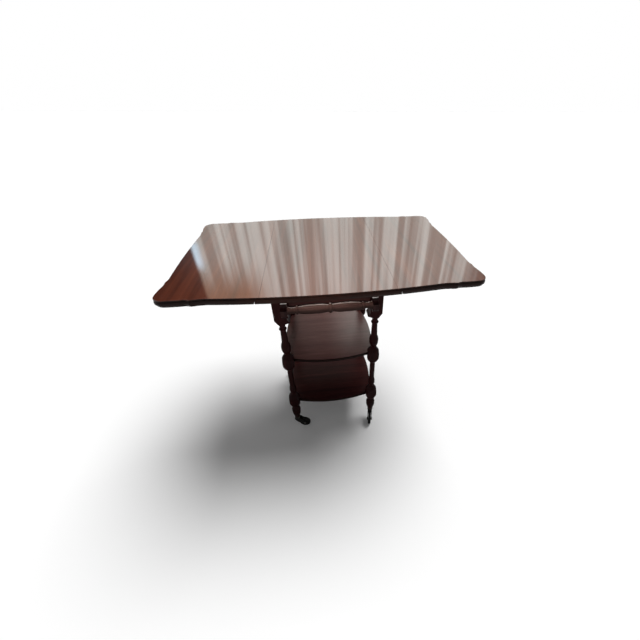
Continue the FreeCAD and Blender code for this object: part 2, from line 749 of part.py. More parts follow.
def build_handle():
    """Turned rail between two shaped blocks on the front legs, with the dowels that hold the blocks."""
    rail = new_body("handle_rail", "handle_shift", f"-({HEAD_FRONT} + rail_out)", RAIL_Z)
    revolve(rail, outline(rail, "XZ_Plane", rail_corners()), "H_Axis")
    node("handle_rail", rail)
    dowels = {}
    for name, side in (("left", -1), ("right", 1)):
        block = new_body("HandleBlock", f"handle_shift + {side} * {HANDLE_BLOCK_X}", f"-{HEAD_FRONT}",
                         RAIL_Z)
        front = "-handle_block_depth"
        corners = [("0", "-handle_block_below"), ("0", "handle_block_above"),
                   ("-handle_block_cap", "handle_block_above"),
                   (front, "handle_block_above / 3", "handle_block_brow"),
                   (front, "-handle_block_below / 2"),
                   (f"{front} + handle_block_toe", "-handle_block_below", "handle_block_chin")]
        pad(block, outline(block, "YZ_Plane", corners), "handle_block_width")
        dowels[side] = cylinder(f"{side} * {HANDLE_BLOCK_X}", f"dowel_leg_bite - {HEAD_FRONT}",
                                f"{RAIL_Z} + dowel_rise", (0, -1, 0), "dowel_radius",
                                "dowel_leg_bite + dowel_block_bite")
        node(f"{name}_handle_block", cut(block, rail, dowels[side]))
    node("handle_dowels", group(*dowels.values()))
    return dowels


def build_support(name, side):
    """Swinging bracket under one leaf, on an upright pin in a block on the side apron."""
    x = f"{side} * ({APRON_FACE_X} + support_off + support_thickness / 2)"
    y = "support_place"
    half, top = "support_thickness / 2", UNDERSIDE
    bottom = f"({top} - support_height)"
    turn_gap = f"({half} + support_gap)"
    upper = f"{top} - support_lug"

    def ear(z, height, towards):
        """Round end about the pin with a neck towards the block (1) or the arm (-1)."""
        neck = centred_box(x, f"{y} + {towards} * {turn_gap} / 2", z, "support_thickness", turn_gap, height)
        return fuse(cylinder(x, y, z, (0, 0, 1), half, height), neck)

    pin = cylinder(x, y, bottom, (0, 0, 1), "support_pin_radius", "support_height")
    bore = cylinder(x, y, bottom, (0, 0, 1), "support_pin_radius + running_gap", "support_height")
    body_width = "support_off + support_thickness"
    stand_y = f"{y} + {turn_gap}"
    stand = centred_box(f"{side} * ({APRON_FACE_X} + ({body_width}) / 2)", f"{stand_y} + support_block / 2",
                        bottom, body_width, "support_block", "support_height")
    inner_face, screw_y = f"{side} * ({APRON_FACE_X} - apron_thickness)", f"{stand_y} + support_screw_along"
    screws = [round_screw(inner_face, screw_y, f"{bottom} + support_height * {share}", (side, 0, 0),
                          "fixing_screw_radius", "fixing_screw_head", "fixing_screw_head_height",
                          "apron_thickness + support_thickness")
              for share in SCREW_SHARES]
    stand = fuse(stand, ear(upper, "support_lug", 1), ear(bottom, "support_lug", 1))
    node(f"{name}_support_knuckle", cut(stand, pin, *screws))
    node(f"{name}_support_pin", pin)
    node(f"{name}_support_screws", group(*screws))
    arm = new_body("SupportArm", x, y)
    far = f"-(support_place + {HEAD_INNER_Y} - support_end_gap)"
    near, rim, foot = f"-{turn_gap}", f"{top} - support_gap", f"{bottom} + support_gap"
    corners = [(near, foot), (near, rim), (far, rim), (far, f"{rim} - support_toe"),
               (f"{far} + support_toe", foot, "-support_hollow")]
    pad(arm, outline(arm, "YZ_Plane", corners), "support_thickness")
    tongue_height = "support_height - 2 * (support_lug + support_gap)"
    tongue = ear(f"{bottom} + support_lug + support_gap", tongue_height, -1)
    node(f"{name}_leaf_support", cut(fuse(arm, tongue), bore))
    return screws


# ---------------------------------------------------------------- casters

FORK_TOP = "(leg_end - socket_flange - swivel_gap)"


def caster_socket(x, y):
    """Steel cup on the leg's end with the sleeve that the stem turns in."""
    body = new_body("Socket", x, y, "leg_end")
    bore, sleeve = "stem_radius + running_gap", "stem_radius + running_gap + socket_wall"
    cup = "leg_end_radius + socket_wall"
    corners = [(bore, "-socket_flange"), (cup, "-socket_flange"), (cup, "socket_cup_height"),
               ("leg_end_radius", "socket_cup_height"), ("leg_end_radius", "0"), (sleeve, "0"),
               (sleeve, "sleeve_height"), ("0", "sleeve_height"), ("0", "sleeve_height - socket_wall"),
               (bore, "sleeve_height - socket_wall")]
    revolve(body, outline(body, "XZ_Plane", corners))
    well = cylinder(x, y, "leg_end - socket_flange", (0, 0, 1), sleeve, "sleeve_height + socket_flange")
    return body, well


def turned_about_stem(item, x, y, swivel):
    """Turn a caster piece made about the stem to its rest direction, then bind its place."""
    turn = FreeCAD.Rotation(Vector(0, 0, 1), value(swivel))
    item.Placement = FreeCAD.Placement(Vector(), turn).multiply(item.Placement)
    return place(item, x, y, "0")


def caster_fork(x, y, swivel):
    """Pressed fork: crown, two cheeks down to the axle and the stem."""
    inner = "(wheel_width + 2 * wheel_side_gap)"
    crown_bottom = f"({FORK_TOP} - crown)"
    body = new_body("Fork")
    corners = [("-crown_half", FORK_TOP), ("-crown_half", f"{crown_bottom} - crown_lip"),
               ("trail", "wheel_radius - fork_boss_radius", "-horn_belly"),
               ("trail + fork_boss_radius", "wheel_radius", f"-fork_boss_radius * {QUARTER_SAG}"),
               ("crown_half", FORK_TOP, "-cheek_swell")]
    pad(body, outline(body, "XZ_Plane", corners), f"{inner} + 2 * cheek")
    slot_length = "2 * (wheel_radius + wheel_clear)"
    slot = box("trail - wheel_radius - wheel_clear", f"-{inner} / 2", "0", slot_length, inner, crown_bottom)
    arch = cylinder("trail", f"-{inner} / 2", "wheel_radius", (0, 1, 0), "wheel_radius + wheel_clear", inner)
    gap = box("crown_half", f"-{inner} / 2", "0", slot_length, inner, f"{FORK_TOP} + crown")
    stem = cylinder("0", "0", crown_bottom, (0, 0, 1), "stem_radius",
                    f"leg_end + sleeve_height - socket_wall - stem_end_gap - {crown_bottom}")
    axle_hole = cylinder("trail", f"-{inner}", "wheel_radius", (0, 1, 0), "axle_radius", f"2 * {inner}")
    fork = cut(fuse(body, stem), slot, arch, gap, axle_hole)
    return turned_about_stem(group(fork), x, y, swivel)


def caster_axle(x, y, swivel):
    """Riveted axle with a head outside each cheek."""
    half = "(wheel_width / 2 + wheel_side_gap + cheek)"
    shaft = cylinder("trail", f"-{half}", "wheel_radius", (0, 1, 0), "axle_radius", f"2 * {half}")
    heads = [cylinder("trail", f"{step} * ({half} + axle_head_height / 2) - axle_head_height / 2",
                      "wheel_radius", (0, 1, 0), "axle_head_radius", "axle_head_height") for step in (-1, 1)]
    return turned_about_stem(group(fuse(shaft, *heads)), x, y, swivel)


def caster_wheel(x, y, swivel):
    """Solid wheel with a rounded tread, dished faces and a raised hub."""
    body = new_body("Wheel")
    half, bore = "wheel_width / 2", "axle_radius + running_gap"
    face, hub_foot = f"({half} - wheel_dish)", "wheel_hub_radius + wheel_hub_step"
    rim, rim_foot = "wheel_radius - wheel_rim", "wheel_radius - wheel_rim - wheel_dish"
    corners = [(f"-{half}", bore), (f"-{half}", "wheel_hub_radius"), (f"-{face}", hub_foot),
               (f"-{face}", rim_foot), (f"-{half}", rim),
               (f"-({half} - wheel_edge)", "wheel_radius", "wheel_round"),
               (f"{half} - wheel_edge", "wheel_radius"), (half, rim, "wheel_round"),
               (face, rim_foot), (face, hub_foot), (half, "wheel_hub_radius"), (half, bore)]
    revolve(body, outline(body, "XZ_Plane", corners), "H_Axis")
    body.Placement = FreeCAD.Placement(Vector(), FreeCAD.Rotation(Vector(0, 0, 1), 90))
    place(body, "trail", "0", "wheel_radius")
    return turned_about_stem(group(body), x, y, swivel)


def build_base(panel, panel_cuts):
    """Frame of legs, aprons, blocks and shelves, with the handle, supports and casters on it."""
    shelves = [shelf("middle_shelf", "upper_shelf_top"), shelf("lower_shelf", "lower_shelf_top")]
    tenons = {}
    for name, side in (("front", -1), ("back", 1)):
        board, tenons[name] = apron(side, along_x=True)
        node(f"{name}_apron", board)
    for name, side in (("left", -1), ("right", 1)):
        board, tenons[name] = apron(side, along_x=False)
        node(f"{name}_side_apron", cut(board, *build_support(name, side)))
    dowels = build_handle()
    blocks, screws = [], []
    for end_name, end in (("front", -1), ("back", 1)):
        for side_name, side in (("left", -1), ("right", 1)):
            name = f"{end_name}_{side_name}"
            x, y, swivel = f"{side} * leg_across", f"{end} * leg_deep", f"{name}_swivel"
            socket, well = caster_socket(x, y)
            tools = [*shelves, tenons[end_name], tenons[side_name], well]
            if end < 0:
                tools.append(dowels[side])
            node(f"{name}_leg", leg(side, end, tools))
            node(f"{name}_caster_socket", socket)
            node(f"{name}_caster_fork", caster_fork(x, y, swivel))
            node(f"{name}_caster_axle", caster_axle(x, y, swivel))
            node(f"{name}_caster_wheel", caster_wheel(x, y, swivel))
            block, screw = corner_block(side, end)
            blocks.append(block)
            screws.append(screw)
    node("corner_blocks", group(*blocks))
    node("top_fixing_screws", group(*screws))
    node("centre_panel", cut(panel, *panel_cuts, *screws))


# ---------------------------------------------------------------- build, check and write

def main():
    """Build every sub-part, check the document and write one STEP file per node."""
    build_base(*build_top())
    DOCUMENT.recompute()
    for item in DOCUMENT.Objects:
        if "Invalid" in item.State or "Error" in item.State:
            raise RuntimeError(f"{item.Label} ({item.Name}) failed: {item.State}")
    for name, item in NODES.items():
        if item.Shape.isNull() or not item.Shape.isValid() or not item.Shape.Solids:
            raise RuntimeError(f"{name} has no valid solid")
    os.makedirs("parts", exist_ok=True)
    for name, item in NODES.items():
        item.Shape.exportStep(f"parts/{name}.step")
        extent = item.Shape.BoundBox
        print(f"{name}: {len(item.Shape.Solids)} solids, {item.Shape.Volume:.0f} mm3, "
              f"x {extent.XMin:.1f} {extent.XMax:.1f} y {extent.YMin:.1f} {extent.YMax:.1f} "
              f"z {extent.ZMin:.1f} {extent.ZMax:.1f}")
    print(f"{len(NODES)} nodes")


main()
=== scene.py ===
"""Looks of the drop leaf tea trolley: polished mahogany, dull hinge steel and black casters."""

import logging
import math
from dataclasses import dataclass
from enum import Enum
from typing import Any, Iterable, Sequence

import bpy
from mathutils import Matrix, Vector

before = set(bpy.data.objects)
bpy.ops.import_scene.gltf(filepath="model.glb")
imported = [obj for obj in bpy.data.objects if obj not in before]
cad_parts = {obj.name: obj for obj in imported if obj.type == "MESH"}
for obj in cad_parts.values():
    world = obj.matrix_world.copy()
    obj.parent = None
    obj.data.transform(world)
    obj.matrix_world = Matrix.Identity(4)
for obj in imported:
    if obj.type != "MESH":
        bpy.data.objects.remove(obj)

LOG = logging.getLogger("tea_trolley")
Colour = tuple[float, float, float, float]
Triple = tuple[float, float, float]
Span = tuple[float, float]
SIDES = ("left", "right")
ENDS = ("front", "back")
LEGS = tuple(f"{end}_{side}" for end in ENDS for side in SIDES)
UP: Triple = (0.0, 0.0, 1.0)
NOISE_MIDDLE = 0.5
BUMP_STRENGTH = 0.3
# Sockets of a Mix node that blends colours: those for values and vectors have the same names.
MIX_FACTOR, MIX_LOWER, MIX_UPPER, MIX_RESULT = 0, 6, 7, 2


def tint(red: float, green: float, blue: float) -> Colour:
    """Opaque linear colour."""
    return (red, green, blue, 1.0)


WHITE = tint(1.0, 1.0, 1.0)
DUST = tint(0.42, 0.38, 0.34)


# ---------------------------------------------------------------- shader building

@dataclass(frozen=True)
class Cloud:
    """Fractal noise: features per metre, octaves and the strength of the finer octaves."""

    scale: float
    detail: float = 3.0
    roughness: float = 0.55


class Bench:
    """Adds and wires the nodes of one shader tree."""

    def __init__(self, tree: bpy.types.NodeTree) -> None:
        """Start on a tree.

        Args:
            tree: The node tree of a material, world or group.
        """
        self.tree = tree

    def add(self, kind: str, feeds: dict[str | int, Any] | None = None, **settings: Any) -> bpy.types.Node:
        """Add one node.

        Args:
            kind: Node type without its ShaderNode prefix, or NodeGroupInput or NodeGroupOutput.
            feeds: What goes into its inputs.
            settings: Properties of the node.

        Returns:
            The new node.
        """
        node = self.tree.nodes.new(kind if kind.startswith("NodeGroup") else f"ShaderNode{kind}")
        for name, setting in settings.items():
            setattr(node, name, setting)
        self.feed(node, feeds or {})
        return node

    def feed(self, node: bpy.types.Node, feeds: dict[str | int, Any]) -> None:
        """Link or set inputs of a node.

        Args:
            node: The node.
            feeds: Its inputs by name or number, each with a value or the output that is linked into it.
        """
        for name, feed in feeds.items():
            if isinstance(feed, bpy.types.NodeSocket):
                self.tree.links.new(feed, node.inputs[name])
            else:
                node.inputs[name].default_value = feed

    def maths(self, operation: str, *terms: Any, clamp: bool = False) -> bpy.types.NodeSocket:
        """Result of a Math node.

        Args:
            operation: Name of the operation.
            terms: Its inputs in order.
            clamp: Whether the result is kept between 0 and 1.

        Returns:
            The output socket.
        """
        return self.add("Math", dict(enumerate(terms)), operation=operation, use_clamp=clamp).outputs[0]

    def product(self, first: Any, *others: Any) -> bpy.types.NodeSocket:
        """Product of two or more values.

        Args:
            first: First value.
            others: Values that it is multiplied by in turn.

        Returns:
            The output socket.
        """
        for other in others:
            first = self.maths("MULTIPLY", first, other)
        return first

    def blend(self, first: Any, second: Any, share: float) -> bpy.types.NodeSocket:
        """Weighted sum of two values.

        Args:
            first: First value.
            second: Second value.
            share: Weight of the first; the second has the rest of 1.

        Returns:
            The output socket.
        """
        return self.maths("ADD", self.product(first, share), self.product(second, 1.0 - share))

    def vector(self, operation: str, *terms: Any) -> bpy.types.NodeSocket:
        """Result of a Vector Math node.

        Args:
            operation: Name of the operation.
            terms: Its inputs in order.

        Returns:
            The output socket: a value for a dot product and a vector otherwise.
        """
        node = self.add("VectorMath", dict(enumerate(terms)), operation=operation)
        return node.outputs["Value" if operation == "DOT_PRODUCT" else "Vector"]

    def facing(self, side: Triple) -> bpy.types.NodeSocket:
        """How far the piece's own normal looks towards a side, from -1 to 1."""
        return self.vector("DOT_PRODUCT", self.add("TexCoord").outputs["Normal"], side)

    def spread(self, value: Any, low: float, high: float, start: float = 0.0,
               end: float = 1.0) -> bpy.types.NodeSocket:
        """Smooth step of a value from one range to another.

        Args:
            value: The socket that varies.
            low: Value that gives start.
            high: Value that gives end.
            start: Result at low.
            end: Result at high.

        Returns:
            The output socket.
        """
        feeds = {"Value": value, "From Min": low, "From Max": high, "To Min": start, "To Max": end}
        return self.add("MapRange", feeds, interpolation_type="SMOOTHSTEP").outputs["Result"]

    def mix(self, factor: Any, lower: Any, upper: Any, mode: str = "MIX") -> bpy.types.NodeSocket:
        """Blend of two colours.

        Args:
            factor: Share of the upper colour.
            lower: Lower colour.
            upper: Upper colour.
            mode: Blend mode.

        Returns:
            The colour socket.
        """
        feeds = {MIX_FACTOR: factor, MIX_LOWER: lower, MIX_UPPER: upper}
        return self.add("Mix", feeds, data_type="RGBA", blend_type=mode).outputs[MIX_RESULT]

    def noise(self, place: Any, cloud: Cloud, output: str = "Fac") -> bpy.types.NodeSocket:
        """Fractal noise.

        Args:
            place: Coordinates in metres.
            cloud: Size and strength of its features.
            output: Fac for one value, or Color for three.

        Returns:
            The output socket.
        """
        feeds = {"Vector": place, "Scale": cloud.scale, "Detail": cloud.detail, "Roughness": cloud.roughness}
        return self.add("TexNoise", feeds).outputs[output]

    def seen_directly(self) -> bpy.types.NodeSocket:
        """Mask of the rays that show a background: from the camera, mirrored or through glass.

        Returns:
            The mask.
        """
        rays = self.add("LightPath").outputs
        direct = self.maths("MAXIMUM", rays["Is Camera Ray"], rays["Is Glossy Ray"])
        return self.maths("MAXIMUM", direct, rays["Is Transmission Ray"])


def new_group(name: str, inputs: Sequence[tuple[str, str]], outputs: Sequence[tuple[str, str]]) -> Bench:
    """Start a shader node group.

    Args:
        name: Name of the group.
        inputs: Name and socket type of each input.
        outputs: Name and socket type of each output.

    Returns:
        A bench on the group's tree.
    """
    tree = bpy.data.node_groups.new(name, "ShaderNodeTree")
    for in_out, sockets in (("INPUT", inputs), ("OUTPUT", outputs)):
        for label, kind in sockets:
            tree.interface.new_socket(name=label, in_out=in_out, socket_type=f"NodeSocket{kind}")
    return Bench(tree)


# ---------------------------------------------------------------- shared effects

@dataclass(frozen=True)
class WoodFigure:
    """Grain of a polished hardwood: broad bands, ribbon figure and fine pores along one direction."""

    drift: Cloud = Cloud(3.0, 2.0, 0.5)
    drift_reach: float = 0.12
    bands: Cloud = Cloud(16.0, 4.0)
    ribbon: Cloud = Cloud(70.0, 3.0, 0.6)
    pores: Cloud = Cloud(420.0, 2.0, 0.7)
    band_share: float = 0.6
    dark_to_middle: Span = (0.34, 0.52)
    middle_to_light: Span = (0.50, 0.68)
    pore_edge: Span = (0.50, 0.62)
    ribbon_height: float = 0.3

    def build(self) -> bpy.types.NodeTree:
        """Make the group.

        Returns:
            A group that takes stretched coordinates, three colours and the contrast of the pores, and
            gives a colour and a height.
        """
        inputs = [("Vector", "Vector"), ("Dark", "Color"), ("Middle", "Color"), ("Light", "Color"),
                  ("Contrast", "Float")]
        bench = new_group("WoodFigure", inputs, [("Color", "Color"), ("Height", "Float")])
        given = bench.add("NodeGroupInput").outputs
        drift = bench.noise(given["Vector"], self.drift, "Color")
        drift = bench.vector("SUBTRACT", drift, (NOISE_MIDDLE, NOISE_MIDDLE, NOISE_MIDDLE))
        shift = bench.add("VectorMath", {0: drift, "Scale": self.drift_reach}, operation="SCALE")
        place = bench.vector("ADD", given["Vector"], shift.outputs["Vector"])
        ribbon = bench.noise(place, self.ribbon)
        figure = bench.blend(bench.noise(place, self.bands), ribbon, self.band_share)
        colour = bench.mix(bench.spread(figure, *self.dark_to_middle), given["Dark"], given["Middle"])
        colour = bench.mix(bench.spread(figure, *self.middle_to_light), colour, given["Light"])
        pores = bench.spread(bench.noise(place, self.pores), *self.pore_edge)
        pores = bench.product(pores, given["Contrast"])
        colour = bench.mix(pores, colour, given["Dark"])
        height = bench.maths("SUBTRACT", bench.product(ribbon, self.ribbon_height), pores)
        bench.add("NodeGroupOutput", {"Color": colour, "Height": height})
        return bench.tree


@dataclass(frozen=True)
class EdgeWear:
    """Rubbed edges, where handling has thinned the finish."""

    patches: Cloud = Cloud(45.0, 4.0, 0.65)
    patch_edge: Span = (0.42, 0.66)
    turn: Span = (0.02, 0.25)
    samples: int = 4

    def build(self) -> bpy.types.NodeTree:
        """Make the group.

        Returns:
            A group that takes coordinates, an edge width and an amount and gives a mask.
        """
        inputs = [("Vector", "Vector"), ("Width", "Float"), ("Amount", "Float")]
        bench = new_group("EdgeWear", inputs, [("Mask", "Float")])
        given = bench.add("NodeGroupInput").outputs
        rounded = bench.add("Bevel", {"Radius": given["Width"]}, samples=self.samples).outputs["Normal"]
        flat = bench.add("NewGeometry").outputs["Normal"]
        turned = bench.maths("SUBTRACT", 1.0, bench.vector("DOT_PRODUCT", rounded, flat))
        patches = bench.spread(bench.noise(given["Vector"], self.patches), *self.patch_edge)
        mask = bench.product(bench.spread(turned, *self.turn), patches, given["Amount"])
        bench.add("NodeGroupOutput", {"Mask": mask})
        return bench.tree


@dataclass(frozen=True)
class Handling:
    """Roughness of a surface that is wiped and handled: soft smears with finer marks in them."""

    smears: Cloud = Cloud(9.0)
    marks: Cloud = Cloud(130.0, 2.0)
    smear_share: float = 0.7

    def build(self) -> bpy.types.NodeTree:
        """Make the group.

        Returns:
            A group that takes coordinates, a roughness and its spread and gives a roughness.
        """
        inputs = [("Vector", "Vector"), ("Roughness", "Float"), ("Spread", "Float")]
        bench = new_group("Handling", inputs, [("Roughness", "Float")])
        given = bench.add("NodeGroupInput").outputs
        smears = bench.noise(given["Vector"], self.smears)
        both = bench.blend(smears, bench.noise(given["Vector"], self.marks), self.smear_share)
        swing = bench.product(bench.maths("SUBTRACT", both, NOISE_MIDDLE), given["Spread"])
        rough = bench.maths("ADD", given["Roughness"], swing, clamp=True)
        bench.add("NodeGroupOutput", {"Roughness": rough})
        return bench.tree


@dataclass(frozen=True)
class SettledDust:
    """Thin dust that settles on faces that look up."""

    level: Span = (0.35, 0.95)
    specks: Cloud = Cloud(220.0, 3.0, 0.7)
    speck_edge: Span = (0.45, 0.75)
    veil: Cloud = Cloud(14.0)
    veil_edge: Span = (0.3, 0.8)
    speck_share: float = 0.6

    def build(self) -> bpy.types.NodeTree:
        """Make the group.

        Returns:
            A group that takes coordinates and an amount and gives a mask.
        """
        bench = new_group("SettledDust", [("Vector", "Vector"), ("Amount", "Float")], [("Mask", "Float")])
        given = bench.add("NodeGroupInput").outputs
        upward = bench.vector("DOT_PRODUCT", bench.add("NewGeometry").outputs["Normal"], UP)
        specks = bench.spread(bench.noise(given["Vector"], self.specks), *self.speck_edge)
        veil = bench.spread(bench.noise(given["Vector"], self.veil), *self.veil_edge)
        cover = bench.product(bench.spread(upward, *self.level), bench.blend(specks, veil, self.speck_share))
        bench.add("NodeGroupOutput", {"Mask": bench.maths("MULTIPLY", cover, given["Amount"], clamp=True)})
        return bench.tree


@dataclass(frozen=True)
class Effects:
    """Shader groups that the finishes share."""

    figure: bpy.types.NodeTree
    wear: bpy.types.NodeTree
    handling: bpy.types.NodeTree
    dust: bpy.types.NodeTree

    @classmethod
    def build(cls) -> "Effects":
        """Make each group once."""
        return cls(WoodFigure().build(), EdgeWear().build(), Handling().build(), SettledDust().build())


# ---------------------------------------------------------------- finishes

class Grain(Enum):
    """Direction that the grain of a piece runs in, as its stretch along X, Y and Z."""

    ALONG_X = (0.05, 1.0, 1.0)
    ALONG_Y = (1.0, 0.05, 1.0)
    ALONG_Z = (1.0, 1.0, 0.06)


@dataclass(frozen=True)
class Finish:
    """What every finish has: a name, its worn edges, a fine relief, a roughness and dust."""

    name: str
    worn: Colour
    relief: float
    roughness: float = 0.35
    roughness_spread: float = 0.15
    wear: float = 0.5
    wear_width: float = 0.0012
    dust: float = 0.05
    dust_roughness: float = 0.5

    def start(self) -> tuple[bpy.types.Material, Bench, bpy.types.NodeSocket, bpy.types.Node]:
        """Make an empty material with its Principled shader.

        Returns:
            The material, a bench on its tree, its object coordinates and the shader node.
        """
        material = bpy.data.materials.new(self.name)
        material.use_nodes = True
        bench = Bench(material.node_tree)
        place = bench.add("TexCoord").outputs["Object"]
        return material, bench, place, material.node_tree.nodes["Principled BSDF"]

    def dress_surface(self, bench: Bench, effects: Effects, place: bpy.types.NodeSocket,
                      colour: bpy.types.NodeSocket, height: bpy.types.NodeSocket,
                      shader: bpy.types.Node) -> None:
        """Add wear, dust, handling and a fine relief, and feed them to the shader.

        Args:
            bench: Bench of the material.
            effects: Shared shader groups.
            place: Object coordinates.
            colour: Colour of the clean surface.
            height: Height of the relief, in shares of its depth.
            shader: The Principled shader.
        """
        feeds = {"Vector": place, "Width": self.wear_width, "Amount": self.wear}
        wear = bench.add("Group", feeds, node_tree=effects.wear).outputs["Mask"]
        feeds = {"Vector": place, "Amount": self.dust}
        dust = bench.add("Group", feeds, node_tree=effects.dust).outputs["Mask"]
        feeds = {"Vector": place, "Roughness": self.roughness, "Spread": self.roughness_spread}
        handled = bench.add("Group", feeds, node_tree=effects.handling).outputs["Roughness"]
        bump = bench.add("Bump", {"Height": height, "Strength": BUMP_STRENGTH, "Distance": self.relief})
        bench.feed(shader, {
            "Base Color": bench.mix(dust, bench.mix(wear, colour, self.worn), DUST),
            "Roughness": bench.maths("ADD", handled, bench.product(dust, self.dust_roughness), clamp=True),
            "Normal": bump.outputs["Normal"]})


@dataclass(frozen=True)
class WoodFinish(Finish):
    """French-polished hardwood, which can have painted shade on its sides, a painted sheen towards its right
    end and a painted highlight on top.
    """

    worn: Colour = tint(0.24, 0.11, 0.055)
    relief: float = 0.00004
    grain: Grain = Grain.ALONG_Z
    dark: Colour = tint(0.02, 0.006, 0.004)
    middle: Colour = tint(0.06, 0.017, 0.011)
    light: Colour = tint(0.12, 0.04, 0.022)
    pores: float = 0.5
    coat: float = 1.0
    coat_roughness: float = 0.05
    coat_ior: float = 1.5
    specular: float = 0.4
    gloss_tint: Colour = WHITE
    # Share of the colour and coat kept on faces that don't look up: painted shade.
    side_shade: float = 1.0
    shade_range: Span = (0.88, 0.995)
    polish_range: Span = (0.70, 0.98)
    # Coat multiplier at the right end, and the span of X where it ramps: a painted sheen.
    painted_sheen_right: float = 1.0
    painted_sheen_turn: Span = (-0.02, 0.13)
    # Painted highlight: a pale colour painted in patches on faces that look towards a side, above a height.
    rubbed: Colour | None = None
    highlight_from: float = 0.585
    highlight_rise: float = 0.004
    highlight_side: Triple = UP
    highlight_facing: Span = (0.86, 0.97)
    highlight_patches: Cloud = Cloud(24.0, 3.0, 0.5)
    patch_edge: Span = (0.30, 0.62)
    patch_strength: Span = (0.75, 1.0)

    def build(self, effects: Effects) -> bpy.types.Material:
        """Make the material.

        Args:
            effects: Shared shader groups.

        Returns:
            The material.
        """
        material, bench, place, shader = self.start()
        feeds = {"Vector": bench.vector("MULTIPLY", place, self.grain.value), "Dark": self.dark,
                 "Middle": self.middle, "Light": self.light, "Contrast": self.pores}
        figure = bench.add("Group", feeds, node_tree=effects.figure).outputs
        bench.feed(shader, {
            "Specular IOR Level": self.specular, "Specular Tint": self.gloss_tint, "Coat Weight": self.coat,
            "Coat Roughness": self.coat_roughness, "Coat IOR": self.coat_ior})
        colour = figure["Color"]
        # Painted shade: darker colour and thinner coat on faces that don't look up.
        if self.side_shade < 1.0:
            colour = self.shade_sides(bench, place, colour, shader)
        # Painted highlight: pale colour on the faces that catch the light.
        if self.rubbed:
            colour = bench.mix(self.painted_highlight(bench, place), colour, self.rubbed)
        self.dress_surface(bench, effects, place, colour, figure["Height"], shader)
        return material

    def shade_sides(self, bench: Bench, place: bpy.types.NodeSocket, colour: bpy.types.NodeSocket,
                    shader: bpy.types.Node) -> bpy.types.NodeSocket:
        """Paint shade on faces that don't look up by deepening the colour and thinning the coat, and paint a
        sheen towards the right end where asked.

        Args:
            bench: Bench of the material.
            place: Object coordinates.
            colour: Colour of the wood.
            shader: The Principled shader.

        Returns:
            The shaded colour.
        """
        upward = bench.facing(UP)
        coat = bench.spread(upward, *self.polish_range, self.coat * self.side_shade, self.coat)
        # Painted sheen: the coat grows towards the right end.
        if self.painted_sheen_right != 1.0:
            across = bench.add("SeparateXYZ", {0: place}).outputs["X"]
            coat = bench.product(coat, bench.spread(across, *self.painted_sheen_turn, 1.0, self.painted_sheen_right))
        bench.feed(shader, {"Coat Weight": coat})
        painted_shade = bench.mix(1.0, colour, tint(self.side_shade, self.side_shade, self.side_shade), "MULTIPLY")
        return bench.mix(bench.spread(upward, *self.shade_range), painted_shade, colour)

    def painted_highlight(self, bench: Bench, place: bpy.types.NodeSocket) -> bpy.types.NodeSocket:
        """Mask of the painted highlight: upper faces painted pale, in patches.

        Args:
            bench: Bench of the material.
            place: Object coordinates.

        Returns:
            The mask.
        """
        facing = bench.spread(bench.facing(self.highlight_side), *self.highlight_facing)
        patches = bench.noise(place, self.highlight_patches)
        patches = bench.spread(patches, *self.patch_edge, *self.patch_strength)
        height = bench.add("SeparateXYZ", {0: place}).outputs["Z"]
        above = bench.spread(height, self.highlight_from, self.highlight_from + self.highlight_rise)
        return bench.product(facing, patches, above)


@dataclass(frozen=True)
class MetalFinish(Finish):
    """Metal with a thin film of age: plain, plated or japanned."""

    worn: Colour = tint(0.6, 0.58, 0.54)
    relief: float = 0.0001
    clean: Colour = tint(0.5, 0.48, 0.45)
    aged: Colour = tint(0.2, 0.17, 0.13)
    metallic: float = 1.0
    specular: float = 0.5
    patches: Cloud = Cloud(60.0, 4.0, 0.65)
    patch_edge: Span = (0.38, 0.68)
    pitting: Cloud = Cloud(900.0, 2.0)

    def build(self, effects: Effects) -> bpy.types.Material:
        """Make the material.

        Args:
            effects: Shared shader groups.

        Returns:
            The material.
        """
        material, bench, place, shader = self.start()
        ageing = bench.spread(bench.noise(place, self.patches), *self.patch_edge)
        colour = bench.mix(ageing, self.clean, self.aged)
        bench.feed(shader, {"Metallic": self.metallic, "Specular IOR Level": self.specular})
        self.dress_surface(bench, effects, place, colour, bench.noise(place, self.pitting), shader)
        return material


# Painted shade on the moulded edge: faces that don't look up keep a tenth of the colour and coat.
TOP_BOARDS = WoodFinish(
    "top_boards", grain=Grain.ALONG_Y, roughness=0.30, roughness_spread=0.08, wear=0.15, dust=0.01,
    dark=tint(0.055, 0.012, 0.006), middle=tint(0.100, 0.024, 0.012), light=tint(0.150, 0.042, 0.019),
    worn=tint(0.12, 0.050, 0.025), pores=0.15, coat_roughness=0.03, specular=0.04, side_shade=0.10)
# Painted shade on the shelf's edges, and a painted sheen: the coat grows towards the right end.
SHELF_BOARDS = WoodFinish(
    "shelf_boards", grain=Grain.ALONG_X, roughness=0.36, dust=0.02, wear=0.3,
    dark=tint(0.075, 0.027, 0.025), middle=tint(0.120, 0.046, 0.041), light=tint(0.170, 0.072, 0.063),
    coat=0.16, coat_roughness=0.32, specular=0.05, gloss_tint=tint(1.0, 0.50, 0.45), side_shade=0.03,
    painted_sheen_right=5.8)
